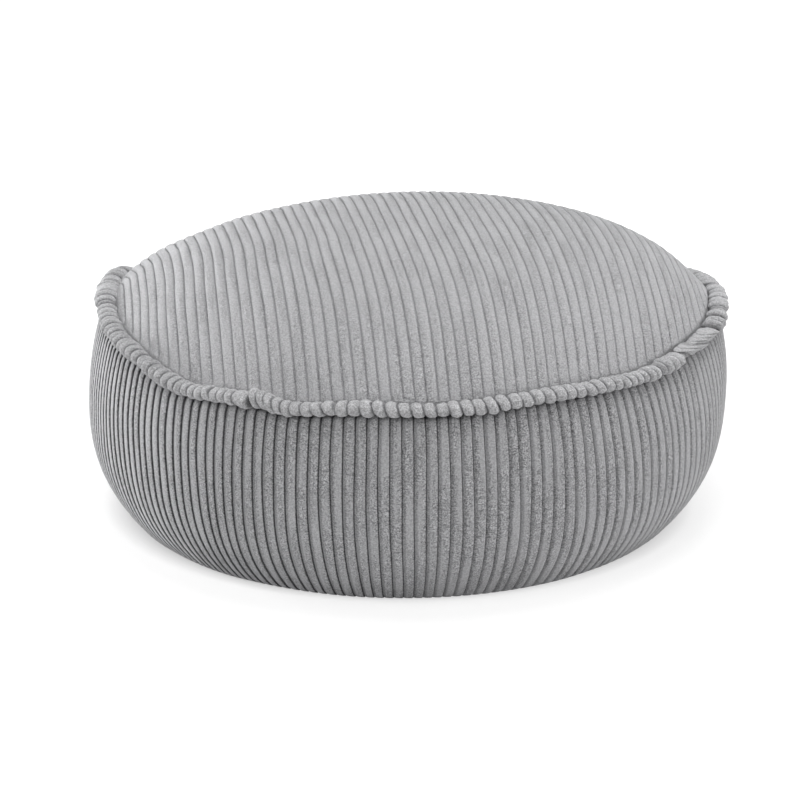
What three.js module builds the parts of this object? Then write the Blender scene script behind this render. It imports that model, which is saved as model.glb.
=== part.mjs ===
// Round floor cushion of wide-wale corduroy.
// A filled body with a crowned top, a bellied side band and a flat underside,
// and a fat welt of the same cloth sewn into the seam round the top.
// Millimetres, +Z up. The origin is on the floor, under the middle of the cushion.

import * as THREE from 'three';

// Driving sizes of the even, upright form
const bellyRadius = 300;      // the widest part of the side band
const bellyHeight = 114;
const footRadius = 251;       // where the band's curve would reach the floor
const footRound = 9.5;        // how high the rounded lower edge reaches
const rimHeight = 193;        // centre of the welt above the floor, on average
const crownHeight = 66;       // the middle of the top panel above the rim
const crownPower = 4.7;       // how long the crown stays flat before it falls to the seam
const tuckPower = 2.75;       // how the band draws in from the belly to the foot
const neckPower = 2;          // how it draws in from the belly to the welt

const weltRadius = 286;       // centre line of the welt
const weltHalfWidth = 10;
const weltHalfHeight = 6.8;
const seatGap = 0.36;         // between the welt and the groove it is sewn into

// How the filling has settled: the body leans a little to +X as it rises, the
// crown is fuller on that side, and the rim rises and dips on its way round.
const footShift = -3.9;
const rimShift = 2.1;
const crownSkew = 0.12;       // how much fuller, as a share of the crown's height
const rimFade = 2;            // how fast the rim's rises fade out towards the middle
const rimPath = [
  { azimuth: 0, height: 200.5, radius: 285.5 },
  { azimuth: 30, height: 187.5, radius: 286.5 },
  { azimuth: 75, height: 191, radius: 285.5 },
  { azimuth: 120, height: 191, radius: 285.5 },
  { azimuth: 150, height: 190, radius: 285.5 },
  { azimuth: 166, height: 195, radius: 285.5 },
  { azimuth: 180, height: 205, radius: 283.5 },
  { azimuth: 196, height: 193, radius: 282 },
  { azimuth: 212, height: 188.5, radius: 285.5 },
  { azimuth: 231, height: 179, radius: 288 },
  { azimuth: 256, height: 183, radius: 287.5 },
  { azimuth: 295, height: 186, radius: 284.5 },
  { azimuth: 330, height: 191.5, radius: 284.5 },
];

// Fineness of the facets
const turnSteps = 84;
const weltSides = 12;
const bandSteps = 12;
const footSteps = 3;
const crownSteps = 11;

const clothColor = 0xa2a2a4;

// A smooth closed curve through the rows of rimPath, in a frame of
// (azimuth, height, radius), with a turn more on each side so that it joins.
const rimCurve = new THREE.CatmullRomCurve3(
  [-360, 0, 360].flatMap((turn) =>
    rimPath.map((row) => new THREE.Vector3(row.azimuth + turn, row.height, row.radius))),
  false, 'catmullrom', 0.5);
const rimSamples = rimCurve.getPoints(1200);

function rimAt(azimuth) {
  const degrees = THREE.MathUtils.euclideanModulo(THREE.MathUtils.radToDeg(azimuth), 360);
  const next = rimSamples.findIndex((sample) => sample.x > degrees);
  const before = rimSamples[next - 1];
  const after = rimSamples[next];
  const share = (degrees - before.x) / (after.x - before.x);
  const { y: height, z: radius } = before.clone().lerp(after, share);
  return { height, radius };
}

// Moves each point of the even form to where the settled cushion has it.
// The welt and the groove that it sits in move together.
function settle(geometry) {
  const position = geometry.getAttribute('position');
  for (let i = 0; i < position.count; i += 1) {
    const x = position.getX(i);
    const y = position.getY(i);
    const z = position.getZ(i);
    const radius = Math.hypot(x, y);
    const azimuth = Math.atan2(y, x);
    const rim = rimAt(azimuth);
    const rise = Math.min(z / rimHeight, 1);
    const reach = Math.min(radius / seamRadius, 1);
    const crown = Math.max(z - rimHeight, 0);
    const spread = radius + (rim.radius - weltRadius) * rise * reach ** rimFade;
    position.setXYZ(
      i,
      spread * Math.cos(azimuth) + THREE.MathUtils.lerp(footShift, rimShift, rise),
      spread * Math.sin(azimuth),
      z + (rim.height - rimHeight) * rise * reach ** rimFade
        + crown * crownSkew * reach * Math.cos(azimuth));
  }
  geometry.computeVertexNormals();
  return geometry;
}

// Turns a profile of (radius, height) points about the upright axis.
function turned(profile) {
  const geometry = new THREE.LatheGeometry(profile, turnSteps);
  geometry.rotateX(Math.PI / 2);
  return settle(geometry);
}

// A point of the welt's oval section, or of one that is `grow` larger.
// The sides stand astride the level of its centre, so the first is at half a step.
function weltPoint(side, grow) {
  const angle = (side + 0.5) * 2 * Math.PI / weltSides;
  return new THREE.Vector2(
    weltRadius + (weltHalfWidth + grow) * Math.cos(angle),
    rimHeight + (weltHalfHeight + grow) * Math.sin(angle));
}

// The groove runs from under the welt, round its inner side, to the top panel's seam.
const grooveStart = -3;
const grooveEnd = -7;
const neck = weltPoint(grooveStart, seatGap);
const seam = weltPoint(grooveEnd, seatGap);
const seamRadius = seam.x;

function bandRadius(height) {
  if (height < bellyHeight) {
    const depth = (bellyHeight - height) / bellyHeight;
    return bellyRadius - (bellyRadius - footRadius) * depth ** tuckPower;
  }
  const climb = (height - bellyHeight) / (neck.y - bellyHeight);
  return bellyRadius - (bellyRadius - neck.x) * climb ** neckPower;
}

function filledBody() {
  const foot = new THREE.QuadraticBezierCurve(
    new THREE.Vector2(footRadius - footRound, 0),
    new THREE.Vector2(footRadius, 0),
    new THREE.Vector2(bandRadius(footRound), footRound));
  const profile = [new THREE.Vector2(0, 0), ...foot.getPoints(footSteps)];
  for (let step = 1; step < bandSteps; step += 1) {
    const height = THREE.MathUtils.lerp(footRound, neck.y, step / bandSteps);
    profile.push(new THREE.Vector2(bandRadius(height), height));
  }
  for (let side = grooveStart; side >= grooveEnd; side -= 1) {
    profile.push(weltPoint(side, seatGap));
  }
  for (let step = 1; step <= crownSteps; step += 1) {
    const reach = Math.cos(Math.PI / 2 * step / crownSteps);
    const height = seam.y + crownHeight * (1 - reach ** crownPower);
    profile.push(new THREE.Vector2(step < crownSteps ? seamRadius * reach : 0, height));
  }
  return turned(profile);
}

function welt() {
  const profile = [];
  for (let side = 0; side <= weltSides; side += 1) {
    profile.push(weltPoint(side, 0));
  }
  return turned(profile);
}

function piece(name, geometry) {
  const cloth = new THREE.MeshStandardMaterial({
    color: clothColor, roughness: 0.95, metalness: 0,
  });
  const mesh = new THREE.Mesh(geometry, cloth);
  mesh.name = name;
  return mesh;
}

const floorCushion = new THREE.Group();
floorCushion.add(piece('cushion', filledBody()));
floorCushion.add(piece('piping', welt()));

export default floorCushion;
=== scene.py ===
# Round floor cushion of wide-wale corduroy, with a fat piping round its top edge.
# Metres, +Z up, the origin on the floor under the middle of the cushion.

import math

import bmesh
import bpy
import numpy as np
from mathutils import Matrix, Vector, noise


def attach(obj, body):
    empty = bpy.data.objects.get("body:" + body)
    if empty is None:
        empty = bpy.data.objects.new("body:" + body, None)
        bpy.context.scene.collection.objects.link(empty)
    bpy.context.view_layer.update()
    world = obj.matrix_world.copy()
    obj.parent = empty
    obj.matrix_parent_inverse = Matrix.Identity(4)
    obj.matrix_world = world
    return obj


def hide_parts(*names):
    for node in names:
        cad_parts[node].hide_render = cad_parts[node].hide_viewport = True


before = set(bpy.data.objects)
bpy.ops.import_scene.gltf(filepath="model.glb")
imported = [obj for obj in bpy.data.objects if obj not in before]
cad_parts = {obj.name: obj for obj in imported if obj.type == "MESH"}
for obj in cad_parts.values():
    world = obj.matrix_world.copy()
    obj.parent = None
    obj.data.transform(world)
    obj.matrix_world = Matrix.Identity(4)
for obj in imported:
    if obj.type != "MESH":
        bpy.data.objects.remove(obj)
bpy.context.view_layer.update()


# ---------------------------------------------------------------- Cushion
# A top panel, a side band and a bottom panel of wide-wale corduroy, sewn edge to edge
# round one soft filling. The filling gives the crown and the belly. The wales run
# straight across both panels and stand upright round the band.

# The section, from the foot over the belly to the neck, the tuck, the seam and the crown.
belly_radius = 0.2994
belly_height = 0.114
foot_radius = 0.2535
foot_round = 0.0095
tuck_power = 2.6
rim_height = 0.193
welt_radius = 0.286
neck_radius = 0.2876
neck_height = 0.1861
tuck_start_radius = 0.2812
tuck_start_rise = 0.0004
tuck_in_radius = 0.2790
tuck_in_rise = 0.0015
seam_radius = 0.276
seam_height = 0.1970
bottom_seam_radius = 0.237
crown_height = 0.0665
crown_power = 4.7

# How the filling has settled: the body leans to +X as it rises, the crown is fuller on
# that side, and one shoulder of it, at the azimuth full_side, stands up more.
foot_shift = -0.0039
rim_shift = 0.0021
crown_skew = 0.12
full_side = 150
full_side_reach = 28
side_fullness = 0.0050
rim_rows = (
    # azimuth in degrees, height and radius of the rim's centre line
    (0, 0.2005, 0.2855),
    (30, 0.1875, 0.2865),
    (75, 0.1910, 0.2855),
    (120, 0.1910, 0.2855),
    (150, 0.1900, 0.2855),
    (166, 0.1950, 0.2855),
    (180, 0.2050, 0.2835),
    (196, 0.1930, 0.2820),
    (212, 0.1885, 0.2855),
    (231, 0.1790, 0.2880),
    (256, 0.1830, 0.2875),
    (295, 0.1860, 0.2845),
    (330, 0.1915, 0.2845),
)
rim_ripples = (
    # azimuth in degrees, and how far the seam is lifted and let out there
    (0, 0.0005, 0.0),
    (6, 0.0006, -0.0010),
    (12, 0.0015, 0.0),
    (19, 0.0010, 0.0),
    (30, 0.0, 0.0),
    (130, 0.0, 0.0),
    (150, -0.0050, 0.0),
    (157, -0.0050, 0.0),
    (161, -0.0005, 0.0),
    (164, 0.0040, 0.0),
    (167, 0.0042, 0.0),
    (169, 0.0026, 0.0),
    (172, 0.0000, 0.0),
    (174, -0.0018, -0.0015),
    (177, -0.0028, -0.0025),
    (180, -0.0020, -0.0030),
    (183, -0.0005, -0.0030),
    (186, 0.0010, -0.0025),
    (190, 0.0027, -0.0015),
    (200, 0.0044, -0.0005),
    (214, 0.0032, 0.0),
    (228, -0.0002, 0.0),
    (239, 0.0030, 0.0),
    (250, -0.0020, 0.0),
    (262, 0.0014, 0.0),
    (275, -0.0007, 0.0),
    (295, 0.0025, 0.0),
    (316, -0.0022, 0.0),
    (328, 0.0012, 0.0),
    (340, 0.0, 0.0),
)

band_wales = 189
top_wales = 60
bottom_wales = 48
panel_facets = 8
bottom_facets = 4
groove_crowding = 0.7
# Where the facets of a band wale begin, as shares of its width: they crowd at the groove.
band_shares = (0.0, 0.07, 0.15, 0.25, 0.37, 0.53, 0.72, 0.85, 0.925, 0.97)
band_leaning = 2.05
foot_shares = (0.35, 0.7)
band_levels = 22
level_crowding = 1.35
pile_height = 0.0021
top_pile_height = 0.0026
flat_pile_height = 0.0012
neck_roll = 0.0015
top_rows = 72
bottom_rows = 28
row_crowding = 0.35
bottom_inset = 0.002
wale_turn = math.radians(6.8)
wale_fan = 0.11
band_lean = (
    # azimuth in degrees, and how far the wales lean there, going down
    (0, 0.15), (90, 0.0), (180, 0.14), (213, 0.14), (226, 0.10), (240, 0.04), (275, 0.04),
    (292, 0.05), (305, 0.11), (318, 0.17), (332, 0.21), (346, 0.18), (360, 0.15),
)


def smooth_step(low, high, value):
    share = min(max((value - low) / (high - low), 0.0), 1.0)
    return share * share * (3.0 - 2.0 * share)


def rim_curve(rows, steps):
    """Points of a smooth closed curve through the rows, over three turns."""
    rows = np.array(rows, float)
    turns = np.vstack([rows + (turn, 0, 0) for turn in (-360, 0, 360)])
    points = []
    for a, b, c, d in zip(turns, turns[1:], turns[2:], turns[3:]):
        for s in np.arange(steps) / steps:
            bend = (2 * a - 5 * b + 4 * c - d) * s + (3 * b - a - 3 * c + d) * s * s
            points.append(b + 0.5 * s * ((c - a) + bend))
    return np.array(points)


rim_degrees = np.arange(0, 3602) / 10
rim_table = []
for curve in (rim_curve(rim_rows, 24), rim_curve(rim_ripples, 24)):
    rim_table.append(np.interp(rim_degrees, curve[:, 0], curve[:, 1]))
    rim_table.append(np.interp(rim_degrees, curve[:, 0], curve[:, 2]))

# The crown follows the rim's height only on the broad, averaged over 25 degrees each way.
around = np.arange(-250, 251)
rim_table.append([rim_table[0][(tenth + around) % 3600].mean() for tenth in range(3602)])
rim_table = np.array(rim_table).T.tolist()


def rim_at(azimuth):
    """The rim's height and radius, its ripple's lift and let-out, and its broad height."""
    place = math.degrees(azimuth) % 360 * 10
    low = int(place)
    share = place - low
    return [a + (b - a) * share for a, b in zip(rim_table[low], rim_table[low + 1])]


def settle(point):
    """Where the settled cushion has a point of the even, upright form."""
    radius = math.hypot(point.x, point.y)
    azimuth = math.atan2(point.y, point.x)
    height, spread, ripple_lift, ripple_spread, broad = rim_at(azimuth)
    rise = min(point.z / rim_height, 1.0)
    reach = min(radius / seam_radius, 1.0)
    near_rim = rise ** 3 * reach ** 9
    crown = max(point.z - rim_height, 0.0)
    rim_fade = 7 if crown else 2
    radius += (spread - welt_radius) * rise * reach ** 2 + ripple_spread * near_rim
    shift = foot_shift + (rim_shift - foot_shift) * rise
    lift = (broad - rim_height) * rise * reach ** 2
    lift += (height - broad) * rise * reach ** rim_fade + ripple_lift * near_rim
    lift += crown * crown_skew * reach * math.cos(azimuth)
    if crown > 0:
        beside = 1 - abs(math.degrees(azimuth) - full_side) / full_side_reach
        shoulder = reach ** 8 - reach ** 60
        lift += side_fullness * smooth_step(0.0, 1.0, beside) * shoulder
    return Vector((
        radius * math.cos(azimuth) + shift,
        radius * math.sin(azimuth),
        point.z + lift,
    ))


def band_radius(height):
    """The radius of the band: drawn in to the foot below its belly, and to the neck above."""
    if height < belly_height:
        depth = (belly_height - height) / belly_height
        return belly_radius - (belly_radius - foot_radius) * depth ** tuck_power
    climb = (height - belly_height) / (neck_height - belly_height)
    roll = neck_roll * smooth_step(0.92, 1.0, climb)
    return belly_radius - (belly_radius - neck_radius) * climb ** 2 - roll


def crown_at(radius):
    """The height of the top panel."""
    reach = min(radius / seam_radius, 1.0)
    return seam_height + crown_height * (1 - reach ** crown_power)


def wale_share(facet, facets):
    """How far across its wale a facet's edge lies. The edges crowd at the grooves."""
    even = facet / facets
    return even - groove_crowding * math.sin(2 * math.pi * even) / (2 * math.pi)


def pile(share, squareness, leaning=1.0):
    """The height of the pile across a wale, from 0 in the grooves to 1 on top."""
    return max(1 - abs(2 * share ** leaning - 1) ** squareness, 0.0) ** 0.5


cover = bmesh.new()
wale_layer = cover.verts.layers.float.new("wale")
along_layer = cover.verts.layers.float.new("along")
relief_layer = cover.verts.layers.float.new("relief")
opened_layer = cover.verts.layers.float.new("opened_and_lit")
tucked_and_shaded_layer = cover.verts.layers.float.new("tucked_and_shaded")

# The band: one long strip, joined end to end. Its section runs from the bottom seam round
# the foot and the belly to the tuck under the piping.
flat_radius = foot_radius - foot_round
rounded_radius = band_radius(foot_round)
section = [(bottom_seam_radius, 0.0), (flat_radius, 0.0)]
for share in foot_shares:
    radius = (1 - share) ** 2 * flat_radius + share ** 2 * rounded_radius
    radius += 2 * share * (1 - share) * foot_radius
    section.append((radius, share ** 2 * foot_round))
for level in range(band_levels + 1):
    climb = 1 - (1 - level / band_levels) ** level_crowding
    height = foot_round + (neck_height - foot_round) * climb
    section.append((band_radius(height), height))
section.append((tuck_start_radius, neck_height + tuck_start_rise))
section.append((tuck_in_radius, neck_height + tuck_in_rise))
section_lengths = [0.0]
for near, far in zip(section, section[1:]):
    section_lengths.append(section_lengths[-1] + math.dist(near, far))

# The pile flattens into the seams and under the foot, and gets painted shade under the piping.
seam_fade = 0.004
foot_fade = 0.024
tuck_shade = 0.027

band_facets = len(band_shares)
band_columns = band_wales * band_facets
band_rows = len(section) - 1
strip = bmesh.ops.create_grid(cover, x_segments=band_columns, y_segments=band_rows, size=1.0)
for vertex in strip["verts"]:
    column = round((vertex.co.x + 1) / 2 * band_columns) % band_columns
    row = round((vertex.co.y + 1) / 2 * band_rows)
    wale, facet = divmod(column, band_facets)
    radius, height = section[row]
    vertex[wale_layer] = wale + band_shares[facet]
    vertex[along_layer] = section_lengths[row]
    from_foot = smooth_step(0.0, foot_fade, section_lengths[row] - seam_fade)
    to_seam = section_lengths[-1] - section_lengths[row]
    vertex[relief_layer] = from_foot * smooth_step(0.0, seam_fade, to_seam)
    # Painted shade under the piping; the same share also rounds the pile in there.
    vertex[tucked_and_shaded_layer] = smooth_step(tuck_shade, seam_fade, to_seam)
    azimuth = 2 * math.pi * vertex[wale_layer] / band_wales
    vertex.co = Vector((radius * math.cos(azimuth), radius * math.sin(azimuth), height))
bmesh.ops.remove_doubles(cover, verts=strip["verts"], dist=1e-7)
band_verts = set(cover.verts)

# The panels: grids whose columns run along the wales, drawn in to a disc. Across the
# wales they follow the length over the crown, so the wales keep their pitch on it.
crown_steps = np.linspace(0, seam_radius, 400)
crown_line = np.array([crown_at(radius) for radius in crown_steps])
crown_lengths = np.concatenate(
    [[0], np.cumsum(np.hypot(np.diff(crown_steps), np.diff(crown_line)))])
top_pitch = 2 * crown_lengths[-1] / top_wales
panel_seam_fade = 0.003


def panel(wales, facets, rows, radius, plan_from_length, pitch, level, fan, opened_and_lit):
    """A round panel whose wales run along Y, and fan out towards +Y."""
    grid = bmesh.ops.create_grid(cover, x_segments=wales * facets, y_segments=rows, size=1.0)
    columns = wales * facets
    for vertex in grid["verts"]:
        column = round((vertex.co.x + 1) / 2 * columns)
        wale, facet = divmod(column, facets)
        across = wale + wale_share(facet, facets)
        middle = plan_from_length((across - wales / 2) * pitch)
        # Where a fanned wale meets the panel's edge is found in a few steps.
        ends = []
        for end in (-1, 1):
            y = 0.0
            for _ in range(8):
                x = middle * (1 + fan * y)
                y = end * math.sqrt(max(radius ** 2 - x ** 2, 0.0))
            ends.append(y)
        row = (1 - row_crowding) * vertex.co.y
        row += row_crowding * math.sin(math.pi / 2 * vertex.co.y)
        y = (ends[0] + ends[1]) / 2 + (ends[1] - ends[0]) / 2 * row
        x = middle * (1 + fan * y)
        vertex[wale_layer] = across
        vertex[along_layer] = y
        vertex[opened_layer] = opened_and_lit
        inset = radius - math.hypot(x, y)
        vertex[relief_layer] = smooth_step(0.0, panel_seam_fade, inset)
        vertex.co = Vector((x, y, level(math.hypot(x, y))))
    bmesh.ops.remove_doubles(cover, verts=grid["verts"], dist=1e-6)


def plan_of_crown(length):
    return math.copysign(np.interp(abs(length), crown_lengths, crown_steps), length)


def plan_of_bottom(length):
    return length * (1 - bottom_inset / bottom_seam_radius)


def floor_level(radius):
    return 0.0


# The crown's grooves get the paler painted shade.
panel(
    top_wales, panel_facets, top_rows, seam_radius, plan_of_crown, top_pitch,
    level=crown_at, fan=wale_fan, opened_and_lit=1.0)
top_verts = {v for v in cover.verts if v not in band_verts}
bottom_pitch = 2 * bottom_seam_radius / bottom_wales
panel(
    bottom_wales, bottom_facets, bottom_rows, bottom_seam_radius - bottom_inset,
    plan_of_bottom, bottom_pitch, level=floor_level, fan=0.0, opened_and_lit=0.0)
bottom_verts = {v for v in cover.verts if v not in band_verts and v not in top_verts}

# The seams: the two rings between the band's edges and the panels' edges.
for on_top in (True, False):
    open_edges = [
        e for e in cover.edges if e.is_boundary and (e.verts[0].co.z > belly_height) == on_top]
    bmesh.ops.triangle_fill(
        cover, use_beauty=True, use_dissolve=False, edges=open_edges, normal=(0, 0, 1))
bmesh.ops.recalc_face_normals(cover, faces=cover.faces)

wander_together = 0.0010
wander_alone = 0.0010
wander_on_panels = 0.5


def wander(vertex, place):
    """How far a wale strays to the side, with its neighbours and by itself."""
    wale = math.floor(vertex[wale_layer] + 0.5)
    together = noise.noise(place * 9)
    alone = noise.noise(Vector((wale * 1.37, vertex[along_layer] * 14, 5.0)))
    return wander_together * together + wander_alone * alone


lean_rows = np.array(band_lean).T
for vertex in cover.verts:
    even = vertex.co.copy()
    place = vertex.co.copy()
    if vertex in band_verts:
        azimuth = 2 * math.pi * vertex[wale_layer] / band_wales
        radius = math.hypot(even.x, even.y)
        lean = np.interp(math.degrees(azimuth), *lean_rows)
        azimuth += lean * (neck_height - even.z) / belly_radius
        azimuth += wander(vertex, place) / belly_radius
        even.x = radius * math.cos(azimuth)
        even.y = radius * math.sin(azimuth)
    else:
        even.x += wander_on_panels * wander(vertex, place) * vertex[relief_layer]
        even.rotate(Matrix.Rotation(wale_turn, 3, "Z"))
    vertex.co = settle(even)

# The wales stand up from the cloth, over the small lumps of the filling. The underside
# stays flat on the floor.
cover.normal_update()
lumps = 0.0012
lumps_on_top = 0.4
lumps_per_metre = 14
top_squareness = 3.2
flat_squareness = 5.0
band_squareness = 6.0
tucked_squareness = 2.8
resting_height = 0.001
for vertex in cover.verts:
    share = vertex[wale_layer] % 1.0
    lump = lumps * noise.noise(vertex.co * lumps_per_metre) * vertex[relief_layer]
    if vertex in top_verts:
        sunk = top_pile_height * (pile(share, top_squareness) - 1)
        lump *= lumps_on_top
    elif vertex in bottom_verts:
        sunk = flat_pile_height * (pile(share, flat_squareness) - 1)
    else:
        drawn_in = (band_squareness - tucked_squareness) * vertex[tucked_and_shaded_layer]
        squareness = band_squareness - drawn_in
        sunk = pile_height * (pile(share, squareness, band_leaning) - 1)
    sunk *= vertex[relief_layer]
    if vertex.co.z < resting_height:
        lump = 0.0
    vertex.co += vertex.normal * (sunk + lump)
    vertex.co.z = max(vertex.co.z, 0.0)

# The cloth's own coordinates: wales across, and wale widths along.
wale_map = cover.loops.layers.uv.new("wales")
cloth_unit = 0.0098
for face in cover.faces:
    wales = [loop.vert[wale_layer] for loop in face.loops]
    wraps = max(wales) - min(wales) > band_wales / 2
    for loop, wale in zip(face.loops, wales):
        if wraps and wale < band_wales / 2:
            wale += band_wales
        loop[wale_map].uv = (wale, loop.vert[along_layer] / cloth_unit)

cushion_mesh = bpy.data.meshes.new("cushion_cover")
for face in cover.faces:
    face.smooth = True
cover.to_mesh(cushion_mesh)
cover.free()
cushion = bpy.data.objects.new("cushion_cover", cushion_mesh)
bpy.context.scene.collection.objects.link(cushion)


nap_colour = (0.405, 0.405, 0.415)
# Painted shade for the grooves: dark on the band, paler on the crown and the piping.
groove_shade_colour = (0.075, 0.075, 0.078)
paler_groove_shade_colour = (0.285, 0.285, 0.293)
nap_depth = 0.0007
tufts_per_metre = 780.0
drifts_per_metre = 26.0
cushion_calm = 0.45

# In shares of a wale's width: how far the painted shade of a groove reaches, how much farther
# where the cloth is opened or tucked in, how far its edges stray, and where the strip of
# painted shade beside it starts to fade and ends.
groove_reach = 0.06
opened_groove_reach = 0.10
tucked_groove_reach = 0.08
groove_straying = 0.08
strip_fades = 0.24
strip_ends = 0.40
strip_shade = -0.30

# Where on the way to the front hands brush the cushion, and how much they ruffle it.
handled_from = -0.20
handled_fully = -0.28
handling = 0.06

# How strongly the tufts show, how much more where the nap is ruffled, and what the crown's
# opened cloth takes from that.
tuft_contrast = 0.34
ruffled_contrast = 0.36
opened_contrast = -0.20

# How much lighter ruffled nap is, how much darker creases are, and the painted shade on tucked-in
# cloth.
ruffled_lift = 0.11
crease_shade = -0.52
opened_crease_shade = 0.30
crease_reach = 0.06
tucked_shade = -0.23


def corduroy(name, nap, calm):
    """Grey cotton corduroy with painted groove shade. The higher calm is, the less of it is
    ruffled.
    """
    material = bpy.data.materials.new(name)
    material.use_nodes = True
    nodes = material.node_tree.nodes
    links = material.node_tree.links
    shader = nodes["Principled BSDF"]
    shader.inputs["Roughness"].default_value = 0.92
    shader.inputs["Specular IOR Level"].default_value = 0.2
    shader.inputs["Sheen Weight"].default_value = 0.30
    shader.inputs["Sheen Roughness"].default_value = 0.45
    shader.inputs["Sheen Tint"].default_value = (0.9, 0.9, 0.92, 1)

    def add(kind, **settings):
        made = nodes.new(kind)
        for key, value in settings.items():
            setattr(made, key, value)
        return made

    def join_to(socket, source):
        if isinstance(source, (int, float)):
            socket.default_value = source
        else:
            links.new(source, socket)

    def sum_of(operation, first, second=0.0, third=0.0):
        made = add("ShaderNodeMath", operation=operation)
        for socket, source in zip(made.inputs, (first, second, third)):
            join_to(socket, source)
        return made.outputs["Value"]

    def spread_out(value, low, high, least=0.0, most=1.0):
        made = add("ShaderNodeMapRange", interpolation_type="SMOOTHSTEP")
        for socket, source in zip(made.inputs, (value, low, high, least, most)):
            join_to(socket, source)
        return made.outputs["Result"]

    def grain(vector, scale, detail, stretch=(1, 1, 1), turn=0.0, swirl=0.0):
        laid = add("ShaderNodeMapping")
        laid.inputs["Scale"].default_value = stretch
        laid.inputs["Rotation"].default_value = (0, 0, turn)
        links.new(vector, laid.inputs["Vector"])
        made = add("ShaderNodeTexNoise")
        made.inputs["Scale"].default_value = scale
        made.inputs["Detail"].default_value = detail
        made.inputs["Distortion"].default_value = swirl
        links.new(laid.outputs["Vector"], made.inputs["Vector"])
        return made.outputs["Fac"]

    cloth = add("ShaderNodeUVMap", uv_map="wales").outputs["UV"]
    place = add("ShaderNodeTexCoord").outputs["Object"]
    across = add("ShaderNodeSeparateXYZ")
    links.new(cloth, across.inputs["Vector"])

    # The grooves get painted shade, with ragged edges. Beside each lies a strip of painted shade,
    # where the nap leans away from the groove.
    opened_and_lit = add("ShaderNodeAttribute", attribute_name="opened_and_lit").outputs["Fac"]
    tucked_and_shaded = add("ShaderNodeAttribute", attribute_name="tucked_and_shaded").outputs["Fac"]
    smoothed = add("ShaderNodeAttribute", attribute_name="smoothed").outputs["Fac"]
    ragged = grain(cloth, 3.0, 3.0)
    strayed = sum_of("MULTIPLY_ADD", ragged, groove_straying, across.outputs["X"])
    share = sum_of("FRACT", sum_of("SUBTRACT", strayed, 0.03))
    farthest = sum_of("MULTIPLY_ADD", opened_and_lit, opened_groove_reach, groove_reach)
    farthest = sum_of("MULTIPLY_ADD", tucked_and_shaded, tucked_groove_reach, farthest)
    clear_of_groove_shade = spread_out(sum_of("PINGPONG", share, 0.5), 0.015, farthest)
    clear_of_groove_shade = sum_of("MAXIMUM", clear_of_groove_shade, smoothed)
    # A strip of painted shade beside each groove, on the band only.
    painted_strip = spread_out(share, strip_fades, strip_ends, strip_shade, 0.0)
    painted_strip = sum_of("MULTIPLY_ADD", painted_strip, sum_of("SUBTRACT", 1.0, opened_and_lit), 1.0)

    # The nap: fine tufts everywhere, and squiggles across the wales where it is ruffled.
    # It is ruffled most in front, where hands brush it.
    tufts = grain(place, tufts_per_metre, 1.0)
    drift = grain(place, drifts_per_metre, 3.0)
    spot = add("ShaderNodeSeparateXYZ")
    links.new(place, spot.inputs["Vector"])
    handled = spread_out(spot.outputs["Y"], handled_fully, handled_from, handling, 0.0)
    patches = grain(cloth, 1.0, 2.0, stretch=(1.3, 0.13, 1.0))
    ruffled = spread_out(sum_of("ADD", patches, handled), calm, calm + 0.16)
    ripple = grain(cloth, 1.0, 1.0, stretch=(2.2, 4.6, 1.0), turn=0.25, swirl=1.6)
    crease = sum_of("ABSOLUTE", sum_of("SUBTRACT", ripple, 0.5))
    crease = sum_of("SUBTRACT", 1.0, spread_out(crease, 0.0, crease_reach))
    crease = sum_of("MULTIPLY", crease, ruffled)

    tone = spread_out(drift, 0.3, 0.7, 0.99, 1.02)
    fleck = spread_out(tufts, 0.3, 0.7, -0.5, 0.5)
    boldness = sum_of("MULTIPLY_ADD", opened_and_lit, opened_contrast, ruffled_contrast)
    boldness = sum_of("MULTIPLY_ADD", ruffled, boldness, tuft_contrast)
    tone = sum_of("MULTIPLY", tone, sum_of("MULTIPLY_ADD", fleck, boldness, 1.0))
    # Painted shade under the piping, and in the piping's gap, pinches and left stretch.
    tone = sum_of("MULTIPLY", tone, sum_of("MULTIPLY_ADD", tucked_and_shaded, tucked_shade, 1.0))
    tone = sum_of("MULTIPLY", tone, painted_strip)
    lifted = sum_of("MULTIPLY_ADD", ruffled, ruffled_lift, 1.0)
    creasing = sum_of("MULTIPLY_ADD", opened_and_lit, opened_crease_shade, crease_shade)
    tone = sum_of("MULTIPLY", tone, sum_of("MULTIPLY_ADD", crease, creasing, lifted))

    # Where the cloth is stretched over the crown, and on the piping, the grooves' painted shade is
    # paler.
    colour = add("ShaderNodeMix", data_type="RGBA")
    painted_groove_shade = add("ShaderNodeMix", data_type="RGBA")
    painted_groove_shade.inputs["A"].default_value = (*groove_shade_colour, 1)
    painted_groove_shade.inputs["B"].default_value = (*paler_groove_shade_colour, 1)
    links.new(opened_and_lit, painted_groove_shade.inputs["Factor"])
    links.new(painted_groove_shade.outputs["Result"], colour.inputs["A"])
    colour.inputs["B"].default_value = (*nap, 1)
    links.new(clear_of_groove_shade, colour.inputs["Factor"])
    shade = add("ShaderNodeVectorMath", operation="SCALE")
    links.new(colour.outputs["Result"], shade.inputs["Vector"])
    links.new(tone, shade.inputs["Scale"])
    links.new(shade.outputs["Vector"], shader.inputs["Base Color"])

    bump = add("ShaderNodeBump")
    bump.inputs["Strength"].default_value = 0.8
    bump.inputs["Distance"].default_value = nap_depth
    links.new(sum_of("MULTIPLY_ADD", crease, -1.0, tufts), bump.inputs["Height"])
    links.new(bump.outputs["Normal"], shader.inputs["Normal"])
    return material


cushion_mesh.materials.append(corduroy("cushion_corduroy", nap_colour, cushion_calm))
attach(cushion, "root")
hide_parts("cushion")


# ---------------------------------------------------------------- Piping
# A bias strip of the same corduroy folded round a fat cord and caught in the seam between
# the top panel and the band. Its wales cross it as a row of beads, and its two ends meet
# at the front left.

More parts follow.
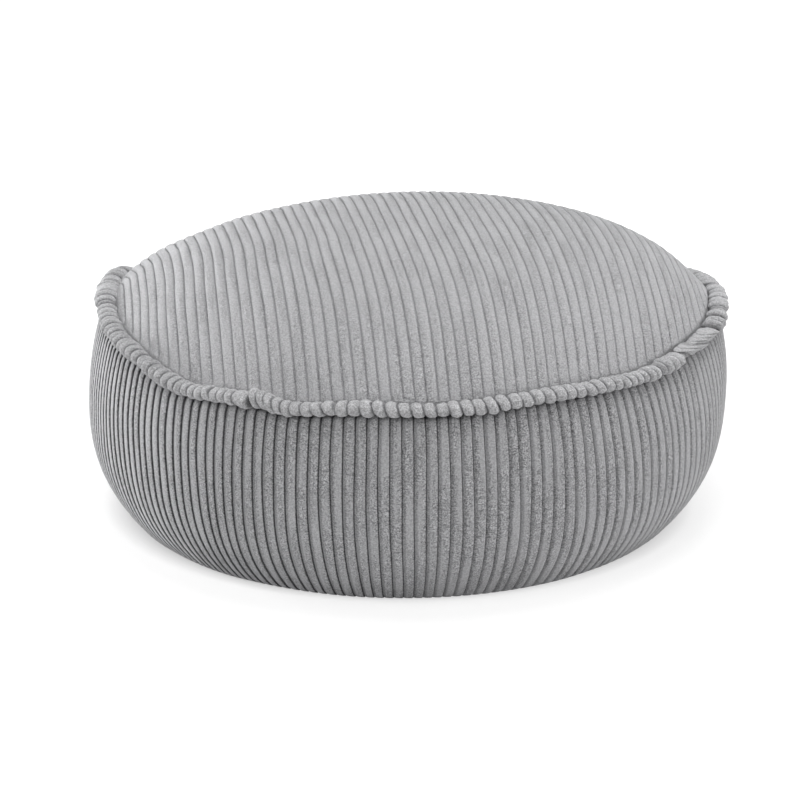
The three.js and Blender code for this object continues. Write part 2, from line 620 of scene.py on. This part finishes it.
beads = 184
bead_facets = 10
section_sides = 22
bead_notch = 0.48
bead_squareness = 2.2
least_notch = 0.2
fuzz = 0.0005
fuzz_per_metre = 330
# The same corduroy as the cushion, its nap painted lighter: painted light on the piping.
bead_colour_with_painted_light = (0.485, 0.485, 0.495)
piping_half_width = 0.0094
piping_half_height = 0.0063
piping_calm = 0.37
# The piping's grooves get nearly the crown's paler painted shade.
piping_opened_and_lit = 0.9
wrapped_radius = 0.010
bead_rows = (
    # azimuth in degrees, how closely the beads are gathered there, their size, how deep
    # their notches are, and how far out they stand
    (0, 0.8, 1.0, 1.1, 0.0),
    (16, 0.9, 1.0, 1.1, 0.0),
    (24, 1.0, 1.0, 1.0, 0.0),
    (155, 1.0, 1.0, 0.8, 0.0),
    (160, 1.0, 1.25, 0.7, 0.0),
    (172, 1.0, 1.22, 0.7, 0.0),
    (188, 1.0, 1.08, 0.8, 0.0),
    (194, 1.0, 1.0, 1.2, 0.0),
    (220, 1.0, 1.0, 1.3, 0.0),
    (227, 1.25, 1.0, 1.0, 0.0),
    (236, 1.25, 1.0, 1.1, 0.0),
    (242, 1.25, 1.05, 1.0, 0.0010),
    (243, 1.35, 1.0, 1.0, 0.0),
    (247, 1.45, 1.0, 1.0, 0.0),
    (251, 1.1, 0.95, 1.0, 0.0),
    (259, 0.95, 1.0, 1.1, 0.0),
    (305, 1.0, 1.0, 1.1, 0.0),
    (312, 1.3, 0.95, 1.0, 0.0),
    (317, 1.3, 1.0, 1.1, 0.0),
    (320, 1.1, 1.08, 1.2, -0.0005),
    (325, 1.1, 1.06, 1.2, 0.0),
    (326, 1.0, 0.96, 0.40, -0.0015),
    (331, 1.0, 1.04, 0.30, -0.0005),
    (335, 1.0, 0.98, 0.32, -0.0005),
    (339, 1.0, 1.06, 0.40, 0.0),
    (341, 0.8, 1.05, 1.1, 0.0010),
    (352, 0.8, 1.0, 1.1, 0.0),
    (360, 0.8, 1.0, 1.1, 0.0),
)
pinches = (
    # azimuth in degrees where the piping is drawn in, and how deeply
    (4, 0.35), (14, 0.25), (159, 0.45), (166, 0.60), (171, 0.60), (176, 0.55), (190, 0.50),
    (318, 0.30), (325.5, 0.40), (333, 0.25), (340.5, 0.42), (345, 0.30), (349, 0.38),
    (358, 0.15),
)
pinch_reach = 0.75
# How strongly the pinches are darkened with painted shade.
pinch_shading = 6.0

# How much the beads differ, each by itself and together with those beside it.
size_alone = 0.20
size_together = 0.12
notch_variety = 0.7
bead_lean = 0.13
lean_alone = 0.24
lean_together = 0.28
bead_wander = 0.0010

# The join: a gap, a fat bead of two wales before it, and the end after it that stands up.
join = 242.4
gap_size = 0.35
gap_reach = 0.24
# The gap's painted shade: where it is full, where it is gone, and how strong it is.
shaded_gap = 0.10
shaded_gap_ends = 0.30
gap_shading = 3.0
fat_bead = 1.08
fat_bead_edge = 0.2
raised_beads = 5
end_rise = 0.0034
end_tallness = 0.40
end_lean = 0.25

# Two stretches of the rim, by the degrees where each begins, is full, starts to fade and
# ends. On the right one the beads lie over by so many beads, and the left one is darkened
# with painted shade.
twisted_stretch = (325, 329, 338, 341)
twist = 2.2
shaded_stretch = (190, 200, 222, 236)
stretch_shade_depth = 0.6

bead_degrees, bead_crowding, bead_sizes, bead_notches, bead_stands = np.array(bead_rows).T
crowding_degrees = np.linspace(0, 360, 3601)
crowding = np.interp(crowding_degrees, bead_degrees, bead_crowding)
gathered = np.concatenate([[0], np.cumsum((crowding[1:] + crowding[:-1]) / 2)])
gathered *= beads / gathered[-1]
join_bead = round(np.interp(join, crowding_degrees, gathered))


def bead_azimuth(place):
    """The azimuth in degrees of a place counted in beads."""
    turns, rest = divmod(place, beads)
    return 360 * turns + np.interp(rest, gathered, crowding_degrees)


def bead_pile(share):
    """The fullness of a bead along the piping, from 0 in the notches to 1 on top."""
    return max(1 - abs(2 * share - 1) ** bead_squareness, 0.0) ** 0.5


def on_stretch(degrees, start, full_from, full_to, end):
    """1 on a stretch of the rim, and less towards its ends."""
    return smooth_step(start, full_from, degrees) * smooth_step(end, full_to, degrees)


def pinched_at(degrees):
    """How deeply the piping is drawn in at an azimuth in degrees."""
    pinched = 0.0
    for pinch, depth in pinches:
        off = ((degrees - pinch + 180) % 360 - 180) / pinch_reach
        pinched = max(pinched, depth * math.exp(-off * off))
    return pinched


welt = bmesh.new()
bead_layer = welt.verts.layers.float.new("bead")
side_layer = welt.verts.layers.float.new("side")
opened_layer = welt.verts.layers.float.new("opened_and_lit")
smoothed_layer = welt.verts.layers.float.new("smoothed")
tucked_and_shaded_layer = welt.verts.layers.float.new("tucked_and_shaded")
bead_columns = beads * bead_facets
tube = bmesh.ops.create_grid(welt, x_segments=bead_columns, y_segments=section_sides, size=1.0)
for vertex in tube["verts"]:
    column = round((vertex.co.x + 1) / 2 * bead_columns) % bead_columns
    side_step = round((vertex.co.y + 1) / 2 * section_sides) % section_sides
    bead, facet = divmod(column, bead_facets)
    share = wale_share(facet, bead_facets)
    side = 2 * math.pi * side_step / section_sides
    vertex[bead_layer] = bead + share
    vertex[side_layer] = side
    vertex[opened_layer] = piping_opened_and_lit
    degrees = bead_azimuth(bead + share) % 360

    # The size of the beads and the depth of their notches. The join has one fat bead.
    full = np.interp(degrees, bead_degrees, bead_sizes)
    notching = np.interp(degrees, bead_degrees, bead_notches)
    between = round(bead + share) % beads
    notching *= 1 + notch_variety * noise.noise(Vector((between * 3.3, 6.0, 2.0)))
    vertex[smoothed_layer] = 1 - min(notching, 1.0)
    full += size_alone * noise.noise(Vector((bead * 2.7, 1.0, 3.0)))
    full += size_together * noise.noise(Vector((bead * 0.21, 4.0, 9.0)))
    if bead in (join_bead - 2, join_bead - 1):
        share_of_fat = (bead - join_bead + 2 + share) / 2
        notch = fat_bead - bead_notch * (1 - bead_pile(share_of_fat))
        from_edge = min(share_of_fat, 1 - share_of_fat)
        vertex[smoothed_layer] = smooth_step(0.0, fat_bead_edge, from_edge)
    else:
        notch = 1 - bead_notch * notching * (1 - bead_pile(share))
    pinched = pinched_at(degrees)
    notch = max(notch, least_notch) * (1 - pinched)

    # The beads lean across the rim, and far over where the piping is twisted.
    lean = bead_lean + lean_together * noise.noise(Vector((bead * 0.4, 7.0, 3.0)))
    lean += lean_alone * noise.noise(Vector((bead * 1.7, 3.0, 8.0)))
    lean += twist * on_stretch(degrees, *twisted_stretch)

    # The end beside the join stands up, and a few beads on it lies level again.
    past_join = (bead + share - join_bead) / raised_beads
    lift = 0.0
    tall = 1.0
    if 0 <= past_join < 1:
        lift = end_rise * (1 - past_join) ** 2 * (1 + 2 * past_join)
        tall = 1 + end_tallness * (1 - past_join)
        lean += end_lean * (1 - past_join)
    from_join = abs(bead + share - join_bead)
    notch *= gap_size + (1 - gap_size) * smooth_step(0.0, gap_reach, from_join)

    # Painted shade darkens the cloth in the gap and the pinches, and along a stretch at the left.
    in_gap = gap_shading * smooth_step(shaded_gap_ends, shaded_gap, from_join)
    stretch_shade = stretch_shade_depth * on_stretch(degrees, *shaded_stretch)
    vertex[tucked_and_shaded_layer] = min(max(in_gap, pinch_shading * pinched, stretch_shade), gap_shading)

    turn = math.radians(bead_azimuth(bead + share - lean * math.sin(side)))
    height, spread, ripple_lift, ripple_spread, broad = rim_at(turn)
    spread += ripple_spread + piping_half_width * full * notch * math.cos(side)
    spread += bead_wander * noise.noise(Vector((bead * 1.9, 2.0, 6.0)))
    spread += np.interp(degrees, bead_degrees, bead_stands)
    height += ripple_lift + lift + piping_half_height * full * tall * notch * math.sin(side)
    height += bead_wander * noise.noise(Vector((bead * 2.3, 8.0, 1.0)))
    vertex.co = Vector((spread * math.cos(turn) + rim_shift, spread * math.sin(turn), height))
bmesh.ops.remove_doubles(welt, verts=welt.verts, dist=1e-7)
bmesh.ops.recalc_face_normals(welt, faces=welt.faces)
welt.normal_update()
for vertex in welt.verts:
    vertex.co += vertex.normal * fuzz * noise.noise(vertex.co * fuzz_per_metre)

bead_map = welt.loops.layers.uv.new("wales")
for face in welt.faces:
    face.smooth = True
    places = [loop.vert[bead_layer] for loop in face.loops]
    sides = [loop.vert[side_layer] for loop in face.loops]
    bead_wraps = max(places) - min(places) > beads / 2
    side_wraps = max(sides) - min(sides) > math.pi
    for loop, bead, side in zip(face.loops, places, sides):
        if bead_wraps and bead < beads / 2:
            bead += beads
        if side_wraps and side < math.pi:
            side += 2 * math.pi
        loop[bead_map].uv = (bead, side * wrapped_radius / cloth_unit)

piping_mesh = bpy.data.meshes.new("piping_beads")
welt.to_mesh(piping_mesh)
welt.free()
piping = bpy.data.objects.new("piping_beads", piping_mesh)
bpy.context.scene.collection.objects.link(piping)
piping_mesh.materials.append(corduroy("piping_corduroy", bead_colour_with_painted_light, piping_calm))
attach(piping, "root")
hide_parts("piping")


# ---------------------------------------------------------------- Floor, light and camera
# A plain white floor that keeps a faint shadow, with painted shadow close to the foot, soft
# light from above, and a long lens a little above the cushion.

floor_mesh = bpy.data.meshes.new("floor")
ground = bmesh.new()
bmesh.ops.create_grid(ground, x_segments=1, y_segments=1, size=8.0)
ground.to_mesh(floor_mesh)
ground.free()
floor = bpy.data.objects.new("floor", floor_mesh)
bpy.context.scene.collection.objects.link(floor)

# The camera sees the lit floor as white, with the cushion's faint shadow on it, because it
# sees a glow on a dim floor. The glow grows away from the cushion, where the lamps reach
# the floor less.
lit_floor = (0.9, 0.9, 0.9, 1)
dim_floor = (0.38, 0.38, 0.38, 1)
glow_near = 0.45
glow_far = 1.1
least_glow = 0.76

# Close to the foot the glow is weaker again, except in front: a painted contact shadow.
contact_near = 0.258
contact_far = 0.281
contact_glow = 0.62
contact_scale = (1.0, 1.1, 0.0)
contact_shift = (0.008, 0.0, 0.0)

white = bpy.data.materials.new("white_floor")
white.use_nodes = True
nodes = white.node_tree.nodes
links = white.node_tree.links
nodes.clear()
output = nodes.new("ShaderNodeOutputMaterial")
matt = nodes.new("ShaderNodeBsdfDiffuse")
matt.inputs["Color"].default_value = lit_floor
glow = nodes.new("ShaderNodeEmission")


def grown(place, near, far, least):
    """A value that grows with the distance of a place, from least at near to 1 at far."""
    distance = nodes.new("ShaderNodeVectorMath")
    distance.operation = "LENGTH"
    links.new(place, distance.inputs[0])
    growth = nodes.new("ShaderNodeMapRange")
    for socket, value in zip(growth.inputs[1:5], (near, far, least, 1.0)):
        socket.default_value = value
    links.new(distance.outputs["Value"], growth.inputs["Value"])
    return growth.outputs["Result"]


where = nodes.new("ShaderNodeTexCoord")
beside_foot = nodes.new("ShaderNodeVectorMath")
beside_foot.operation = "MULTIPLY_ADD"
beside_foot.inputs[1].default_value = contact_scale
beside_foot.inputs[2].default_value = contact_shift
links.new(where.outputs["Object"], beside_foot.inputs[0])
glow_by_distance = grown(where.outputs["Object"], glow_near, glow_far, least_glow)
# The painted contact shadow beside the foot.
painted_contact_shadow = grown(beside_foot.outputs["Vector"], contact_near, contact_far, contact_glow)
glow_of_both = nodes.new("ShaderNodeMath")
glow_of_both.operation = "MULTIPLY"
links.new(glow_by_distance, glow_of_both.inputs[0])
links.new(painted_contact_shadow, glow_of_both.inputs[1])
links.new(glow_of_both.outputs["Value"], glow.inputs["Strength"])
seen = nodes.new("ShaderNodeAddShader")
paths = nodes.new("ShaderNodeLightPath")
pick = nodes.new("ShaderNodeMixShader")
links.new(glow.outputs[0], seen.inputs[0])
dim = nodes.new("ShaderNodeBsdfDiffuse")
dim.inputs["Color"].default_value = dim_floor
links.new(dim.outputs[0], seen.inputs[1])
links.new(paths.outputs["Is Camera Ray"], pick.inputs["Fac"])
links.new(matt.outputs[0], pick.inputs[1])
links.new(seen.outputs[0], pick.inputs[2])
links.new(pick.outputs[0], output.inputs["Surface"])
floor_mesh.materials.append(white)

# The camera sees the sky as white, but it lights the cushion only faintly.
sky_strength = 0.16
world = bpy.data.worlds.new("studio")
bpy.context.scene.world = world
world.use_nodes = True
nodes = world.node_tree.nodes
links = world.node_tree.links
sky = nodes["Background"]
sky.inputs["Color"].default_value = (1, 1, 1, 1)
paths = nodes.new("ShaderNodeLightPath")
shown = nodes.new("ShaderNodeMath")
shown.operation = "MAXIMUM"
links.new(paths.outputs["Is Camera Ray"], shown.inputs[0])
links.new(paths.outputs["Is Glossy Ray"], shown.inputs[1])
also = nodes.new("ShaderNodeMath")
also.operation = "MAXIMUM"
links.new(shown.outputs[0], also.inputs[0])
links.new(paths.outputs["Is Transmission Ray"], also.inputs[1])
strength = nodes.new("ShaderNodeMapRange")
strength.inputs["To Min"].default_value = sky_strength
strength.inputs["To Max"].default_value = 1.0
links.new(also.outputs[0], strength.inputs["Value"])
links.new(strength.outputs[0], sky.inputs["Strength"])


def softbox(name, place, aim, size, power):
    """A round soft lamp turned towards a point."""
    lamp = bpy.data.lights.new(name, "AREA")
    lamp.shape = "DISK"
    lamp.size = size
    lamp.energy = power
    box = bpy.data.objects.new(name, lamp)
    box.location = place
    box.rotation_euler = (Vector(aim) - Vector(place)).to_track_quat("-Z", "Y").to_euler()
    bpy.context.scene.collection.objects.link(box)


softbox("overhead", place=(0.15, 0.1, 2.2), aim=(0, 0, 0.15), size=1.5, power=30)
softbox("front", place=(-0.5, -1.5, 1.45), aim=(0, 0, 0.12), size=1.3, power=15)
softbox("left", place=(-2.0, 0.93, 0.24), aim=(0, 0, 0.12), size=0.6, power=48)
softbox("right", place=(2.2, -0.25, 0.5), aim=(0, 0, 0.12), size=0.8, power=17.5)
softbox("back", place=(0.7, 2.2, 1.3), aim=(0, 0, 0.12), size=1.0, power=4)

camera_elevation = math.radians(18.82)
camera_distance = 2.2
camera_lens = 104.7
aim = Vector((-0.0067, 0.0, 0.0953))
away = Vector((0, -math.cos(camera_elevation), math.sin(camera_elevation)))
camera_data = bpy.data.cameras.new("camera")
camera_data.sensor_width = 36
camera_data.lens = camera_lens
camera = bpy.data.objects.new("camera", camera_data)
camera.location = aim + away * camera_distance
camera.rotation_euler = (-away).to_track_quat("-Z", "Y").to_euler()
bpy.context.scene.collection.objects.link(camera)
bpy.context.scene.camera = camera
bpy.context.scene.view_settings.view_transform = "Standard"
